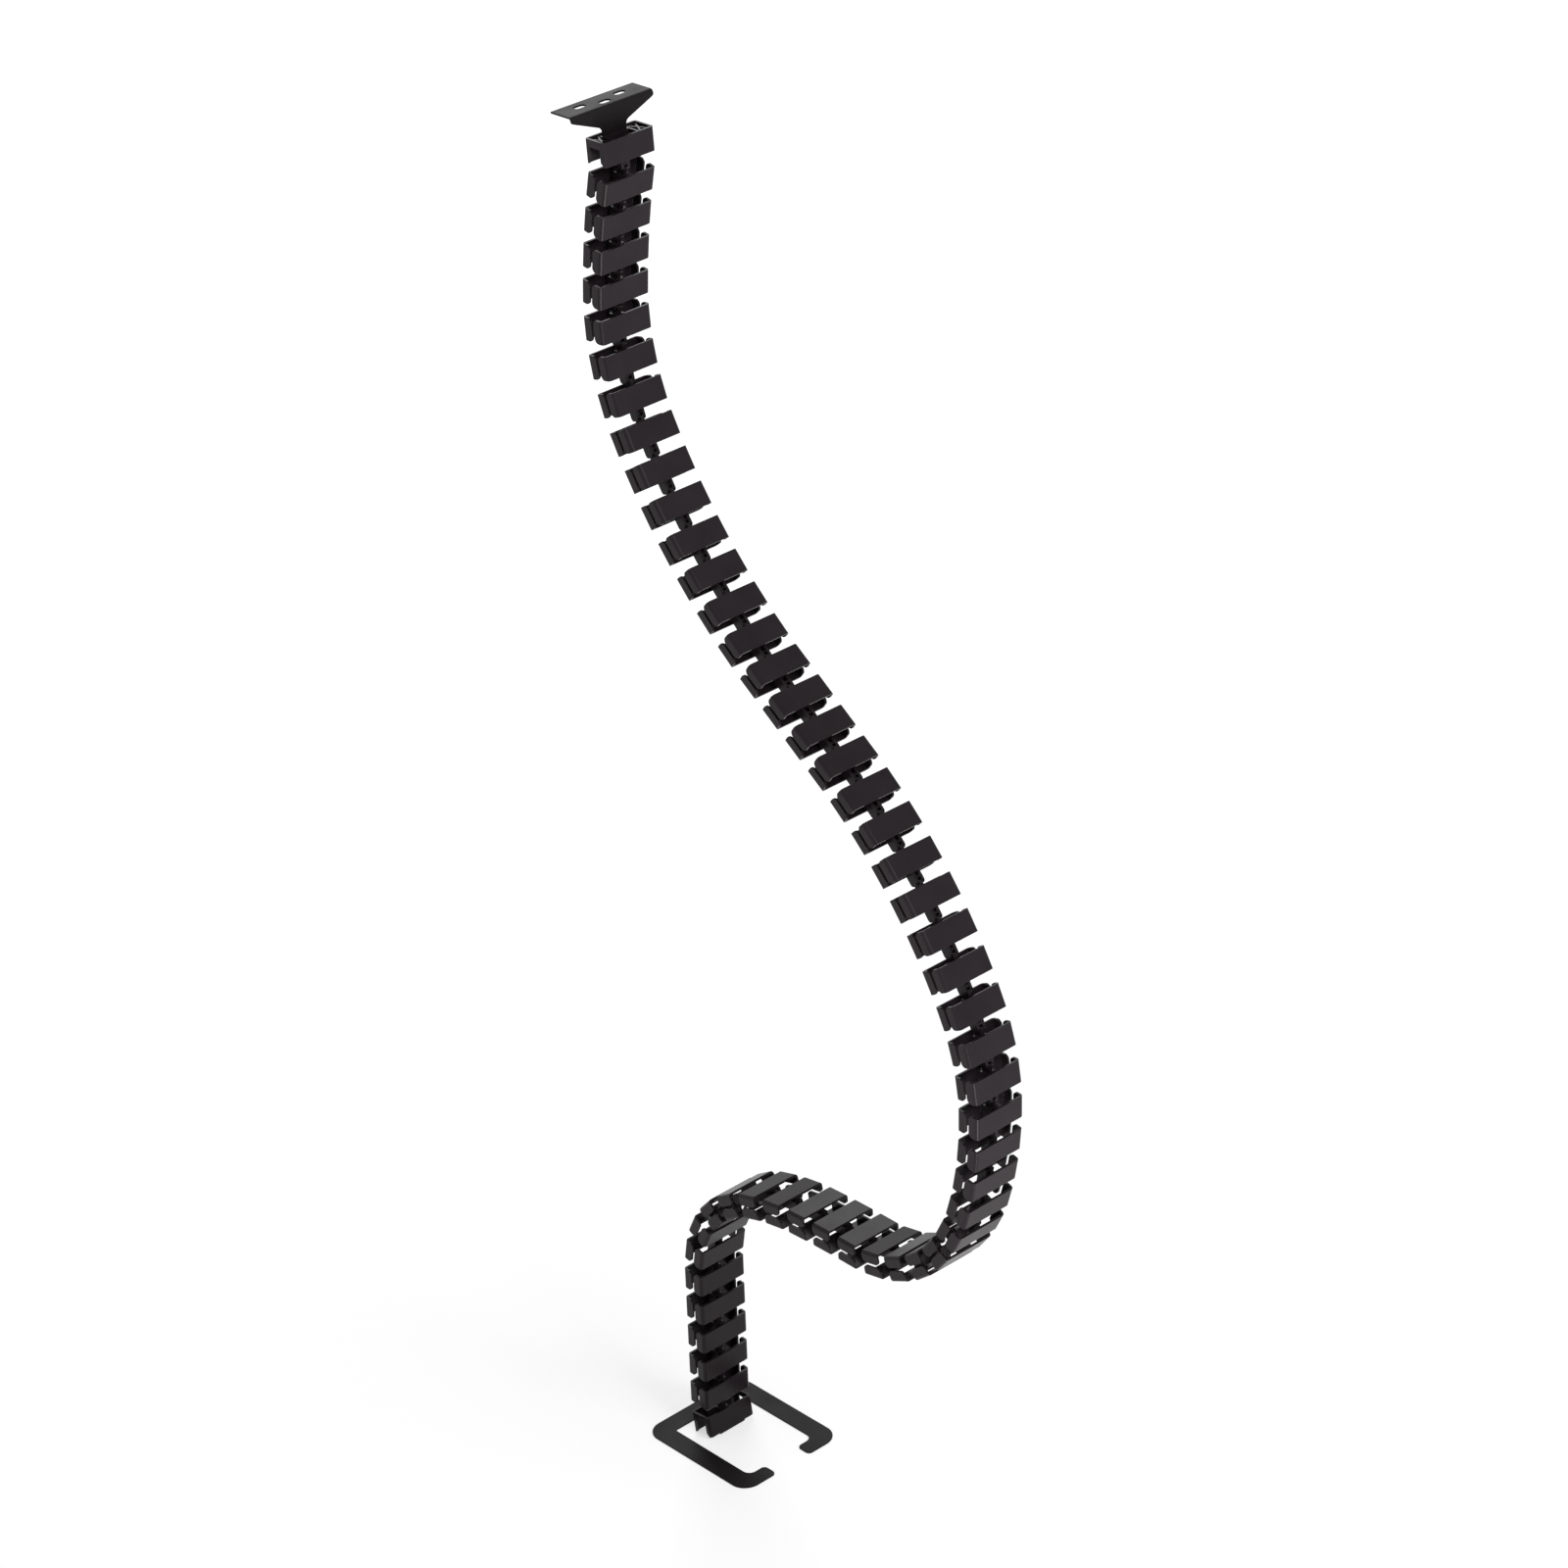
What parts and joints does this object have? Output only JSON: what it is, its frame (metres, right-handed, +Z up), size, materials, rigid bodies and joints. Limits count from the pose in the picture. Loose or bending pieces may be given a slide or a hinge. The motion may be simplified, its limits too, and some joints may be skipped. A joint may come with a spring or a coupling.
{
  "type": "cable spine",
  "caption": "Long chain of hinged black links that carries cables from a desk-top bracket down to a flat floor foot.",
  "frame": {"origin": "midway between the bracket's two outer screw slots, on the top face that lies against the desk", "axes": "+Z up, +X across the spine to the right, front of the spine towards -Y"},
  "size_m": [0.091, 0.3489, 0.9987],
  "materials": {
    "link_plastic": "satin moulded black",
    "black_steel": "fine satin black powder coat"
  },
  "bodies": {
    "top": {"desk_bracket": "black_steel", "top_link": "link_plastic"},
    "segment_01": {"link_01": "link_plastic"},
    "segment_02": {"link_02": "link_plastic"},
    "segment_03": {"link_03": "link_plastic"},
    "segment_04": {"link_04": "link_plastic"},
    "segment_05": {"link_05": "link_plastic"},
    "segment_06": {"link_06": "link_plastic"},
    "segment_07": {"link_07": "link_plastic"},
    "segment_08": {"link_08": "link_plastic"},
    "segment_09": {"link_09": "link_plastic"},
    "segment_10": {"link_10": "link_plastic"},
    "segment_11": {"link_11": "link_plastic"},
    "segment_12": {"link_12": "link_plastic"},
    "segment_13": {"link_13": "link_plastic"},
    "segment_14": {"link_14": "link_plastic"},
    "segment_15": {"link_15": "link_plastic"},
    "segment_16": {"link_16": "link_plastic"},
    "segment_17": {"link_17": "link_plastic"},
    "segment_18": {"link_18": "link_plastic"},
    "segment_19": {"link_19": "link_plastic"},
    "segment_20": {"link_20": "link_plastic"},
    "segment_21": {"link_21": "link_plastic"},
    "segment_22": {"link_22": "link_plastic"},
    "segment_23": {"link_23": "link_plastic"},
    "segment_24": {"link_24": "link_plastic"},
    "segment_25": {"link_25": "link_plastic"},
    "segment_26": {"link_26": "link_plastic"},
    "segment_27": {"link_27": "link_plastic"},
    "segment_28": {"link_28": "link_plastic"},
    "segment_29": {"link_29": "link_plastic"},
    "segment_30": {"link_30": "link_plastic"},
    "segment_31": {"link_31": "link_plastic"},
    "segment_32": {"link_32": "link_plastic"},
    "segment_33": {"link_33": "link_plastic"},
    "segment_34": {"link_34": "link_plastic"},
    "segment_35": {"link_35": "link_plastic"},
    "segment_36": {"link_36": "link_plastic"},
    "segment_37": {"link_37": "link_plastic"},
    "segment_38": {"link_38": "link_plastic"},
    "segment_39": {"link_39": "link_plastic"},
    "segment_40": {"link_40": "link_plastic"},
    "segment_41": {"link_41": "link_plastic"},
    "segment_42": {"link_42": "link_plastic"},
    "segment_43": {"link_43": "link_plastic"},
    "segment_44": {"link_44": "link_plastic"},
    "segment_45": {"link_45": "link_plastic"},
    "segment_46": {"link_46": "link_plastic"},
    "segment_47": {"link_47": "link_plastic"},
    "segment_48": {"link_48": "link_plastic"},
    "segment_49": {"link_49": "link_plastic"},
    "segment_50": {"link_50": "link_plastic"},
    "foot": {"bottom_link": "link_plastic", "foot_plate": "black_steel"}
  },
  "joints": [
    {"name": "hinge_01", "type": "hinge", "parent": "top", "child": "segment_01", "pos_m": [0, -0.0164, -0.038], "axis": [1, 0, 0], "range_deg": [-65.5, 34.5]},
    {"name": "hinge_02", "type": "hinge", "parent": "segment_01", "child": "segment_02", "pos_m": [0, -0.00972, -0.06209], "axis": [-1, 0, 0], "range_deg": [-52.5, 47.5]},
    {"name": "hinge_03", "type": "hinge", "parent": "segment_02", "child": "segment_03", "pos_m": [0, -0.0041, -0.08645], "axis": [1, 0, 0], "range_deg": [-47.5, 52.5]},
    {"name": "hinge_04", "type": "hinge", "parent": "segment_03", "child": "segment_04", "pos_m": [0, 0.00046, -0.11103], "axis": [-1, 0, 0], "range_deg": [-52.5, 47.5]},
    {"name": "hinge_05", "type": "hinge", "parent": "segment_04", "child": "segment_05", "pos_m": [0, 0.00394, -0.13579], "axis": [1, 0, 0], "range_deg": [-41.5, 58.5]},
    {"name": "hinge_06", "type": "hinge", "parent": "segment_05", "child": "segment_06", "pos_m": [0, 0.00372, -0.16079], "axis": [-1, 0, 0], "range_deg": [-58.5, 41.5]},
    {"name": "hinge_07", "type": "hinge", "parent": "segment_06", "child": "segment_07", "pos_m": [0, -0.00019, -0.18548], "axis": [1, 0, 0], "range_deg": [-41.5, 58.5]},
    {"name": "hinge_08", "type": "hinge", "parent": "segment_07", "child": "segment_08", "pos_m": [0, -0.00771, -0.20932], "axis": [-1, 0, 0], "range_deg": [-58.5, 41.5]},
    {"name": "hinge_09", "type": "hinge", "parent": "segment_08", "child": "segment_09", "pos_m": [0, -0.01867, -0.23179], "axis": [1, 0, 0], "range_deg": [-46.25, 53.75]},
    {"name": "hinge_10", "type": "hinge", "parent": "segment_09", "child": "segment_10", "pos_m": [0, -0.03107, -0.2535], "axis": [-1, 0, 0], "range_deg": [-53.75, 46.25]},
    {"name": "hinge_11", "type": "hinge", "parent": "segment_10", "child": "segment_11", "pos_m": [0, -0.04487, -0.27434], "axis": [1, 0, 0], "range_deg": [-46.25, 53.75]},
    {"name": "hinge_12", "type": "hinge", "parent": "segment_11", "child": "segment_12", "pos_m": [0, -0.06, -0.29424], "axis": [-1, 0, 0], "range_deg": [-53.75, 46.25]},
    {"name": "hinge_13", "type": "hinge", "parent": "segment_12", "child": "segment_13", "pos_m": [0, -0.0764, -0.31311], "axis": [1, 0, 0], "range_deg": [-46.25, 53.75]},
    {"name": "hinge_14", "type": "hinge", "parent": "segment_13", "child": "segment_14", "pos_m": [0, -0.094, -0.33087], "axis": [-1, 0, 0], "range_deg": [-53.75, 46.25]},
    {"name": "hinge_15", "type": "hinge", "parent": "segment_14", "child": "segment_15", "pos_m": [0, -0.11273, -0.34743], "axis": [1, 0, 0], "range_deg": [-46.25, 53.75]},
    {"name": "hinge_16", "type": "hinge", "parent": "segment_15", "child": "segment_16", "pos_m": [0, -0.1325, -0.36274], "axis": [-1, 0, 0], "range_deg": [-50, 50]},
    {"name": "hinge_17", "type": "hinge", "parent": "segment_16", "child": "segment_17", "pos_m": [0, -0.15226, -0.37804], "axis": [1, 0, 0], "range_deg": [-50, 50]},
    {"name": "hinge_18", "type": "hinge", "parent": "segment_17", "child": "segment_18", "pos_m": [0, -0.17203, -0.39335], "axis": [-1, 0, 0], "range_deg": [-50, 50]},
    {"name": "hinge_19", "type": "hinge", "parent": "segment_18", "child": "segment_19", "pos_m": [0, -0.1918, -0.40865], "axis": [1, 0, 0], "range_deg": [-54.25, 45.75]},
    {"name": "hinge_20", "type": "hinge", "parent": "segment_19", "child": "segment_20", "pos_m": [0, -0.21038, -0.42538], "axis": [-1, 0, 0], "range_deg": [-45.75, 54.25]},
    {"name": "hinge_21", "type": "hinge", "parent": "segment_20", "child": "segment_21", "pos_m": [0, -0.22766, -0.44344], "axis": [1, 0, 0], "range_deg": [-54.25, 45.75]},
    {"name": "hinge_22", "type": "hinge", "parent": "segment_21", "child": "segment_22", "pos_m": [0, -0.24357, -0.46273], "axis": [-1, 0, 0], "range_deg": [-45.75, 54.25]},
    {"name": "hinge_23", "type": "hinge", "parent": "segment_22", "child": "segment_23", "pos_m": [0, -0.25799, -0.48315], "axis": [1, 0, 0], "range_deg": [-54.25, 45.75]},
    {"name": "hinge_24", "type": "hinge", "parent": "segment_23", "child": "segment_24", "pos_m": [0, -0.27087, -0.50458], "axis": [-1, 0, 0], "range_deg": [-45.75, 54.25]},
    {"name": "hinge_25", "type": "hinge", "parent": "segment_24", "child": "segment_25", "pos_m": [0, -0.28212, -0.5269], "axis": [1, 0, 0], "range_deg": [-54.25, 45.75]},
    {"name": "hinge_26", "type": "hinge", "parent": "segment_25", "child": "segment_26", "pos_m": [0, -0.29169, -0.55], "axis": [-1, 0, 0], "range_deg": [-41, 59]},
    {"name": "hinge_27", "type": "hinge", "parent": "segment_26", "child": "segment_27", "pos_m": [0, -0.29753, -0.57431], "axis": [1, 0, 0], "range_deg": [-59, 41]},
    {"name": "hinge_28", "type": "hinge", "parent": "segment_27", "child": "segment_28", "pos_m": [0, -0.29949, -0.59923], "axis": [-1, 0, 0], "range_deg": [-41, 59]},
    {"name": "hinge_29", "type": "hinge", "parent": "segment_28", "child": "segment_29", "pos_m": [0, -0.29753, -0.62415], "axis": [1, 0, 0], "range_deg": [-55.25, 44.75]},
    {"name": "hinge_30", "type": "hinge", "parent": "segment_29", "child": "segment_30", "pos_m": [0, -0.29329, -0.64879], "axis": [-1, 0, 0], "range_deg": [-44.75, 55.25]},
    {"name": "hinge_31", "type": "hinge", "parent": "segment_30", "child": "segment_31", "pos_m": [0, -0.28682, -0.67294], "axis": [1, 0, 0], "range_deg": [-55.25, 44.75]},
    {"name": "hinge_32", "type": "hinge", "parent": "segment_31", "child": "segment_32", "pos_m": [0, -0.27817, -0.6964], "axis": [-1, 0, 0], "range_deg": [-40, 60]},
    {"name": "hinge_33", "type": "hinge", "parent": "segment_32", "child": "segment_33", "pos_m": [0, -0.26557, -0.71799], "axis": [1, 0, 0], "range_deg": [-60, 40]},
    {"name": "hinge_34", "type": "hinge", "parent": "segment_33", "child": "segment_34", "pos_m": [0, -0.24942, -0.73707], "axis": [-1, 0, 0], "range_deg": [-36.75, 63.25]},
    {"name": "hinge_35", "type": "hinge", "parent": "segment_34", "child": "segment_35", "pos_m": [0, -0.22932, -0.75194], "axis": [1, 0, 0], "range_deg": [-63.25, 36.75]},
    {"name": "hinge_36", "type": "hinge", "parent": "segment_35", "child": "segment_36", "pos_m": [0, -0.20635, -0.76181], "axis": [-1, 0, 0], "range_deg": [-36.75, 63.25]},
    {"name": "hinge_37", "type": "hinge", "parent": "segment_36", "child": "segment_37", "pos_m": [0, -0.18173, -0.76615], "axis": [1, 0, 0], "range_deg": [-61.5, 38.5]},
    {"name": "hinge_38", "type": "hinge", "parent": "segment_37", "child": "segment_38", "pos_m": [0, -0.15674, -0.7655], "axis": [-1, 0, 0], "range_deg": [-51.5, 48.5]},
    {"name": "hinge_39", "type": "hinge", "parent": "segment_38", "child": "segment_39", "pos_m": [0, -0.13174, -0.7655], "axis": [1, 0, 0], "range_deg": [-48.5, 51.5]},
    {"name": "hinge_40", "type": "hinge", "parent": "segment_39", "child": "segment_40", "pos_m": [0, -0.10675, -0.76615], "axis": [-1, 0, 0], "range_deg": [-56.5, 43.5]},
    {"name": "hinge_41", "type": "hinge", "parent": "segment_40", "child": "segment_41", "pos_m": [0, -0.08199, -0.76963], "axis": [1, 0, 0], "range_deg": [-43.5, 56.5]},
    {"name": "hinge_42", "type": "hinge", "parent": "segment_41", "child": "segment_42", "pos_m": [0, -0.05779, -0.77589], "axis": [-1, 0, 0], "range_deg": [-65.5, 34.5]},
    {"name": "hinge_43", "type": "hinge", "parent": "segment_42", "child": "segment_43", "pos_m": [0, -0.03614, -0.78839], "axis": [1, 0, 0], "range_deg": [-34.5, 65.5]},
    {"name": "hinge_44", "type": "hinge", "parent": "segment_43", "child": "segment_44", "pos_m": [0, -0.01862, -0.80622], "axis": [-1, 0, 0], "range_deg": [-65.5, 34.5]},
    {"name": "hinge_45", "type": "hinge", "parent": "segment_44", "child": "segment_45", "pos_m": [0, -0.0065, -0.82809], "axis": [1, 0, 0], "range_deg": [-34.5, 65.5]},
    {"name": "hinge_46", "type": "hinge", "parent": "segment_45", "child": "segment_46", "pos_m": [0, -0.00066, -0.8524], "axis": [-1, 0, 0], "range_deg": [-59.5, 40.5]},
    {"name": "hinge_47", "type": "hinge", "parent": "segment_46", "child": "segment_47", "pos_m": [0, 0.00108, -0.87734], "axis": [1, 0, 0], "range_deg": [-50, 50]},
    {"name": "hinge_48", "type": "hinge", "parent": "segment_47", "child": "segment_48", "pos_m": [0, 0.00283, -0.90228], "axis": [-1, 0, 0], "range_deg": [-50, 50]},
    {"name": "hinge_49", "type": "hinge", "parent": "segment_48", "child": "segment_49", "pos_m": [0, 0.00457, -0.92721], "axis": [1, 0, 0], "range_deg": [-50, 50]},
    {"name": "hinge_50", "type": "hinge", "parent": "segment_49", "child": "segment_50", "pos_m": [0, 0.00631, -0.95215], "axis": [-1, 0, 0], "range_deg": [-50, 50]},
    {"name": "hinge_51", "type": "hinge", "parent": "segment_50", "child": "foot", "pos_m": [0, 0.00806, -0.97709], "axis": [1, 0, 0], "range_deg": [-40, 60]}
  ]
}
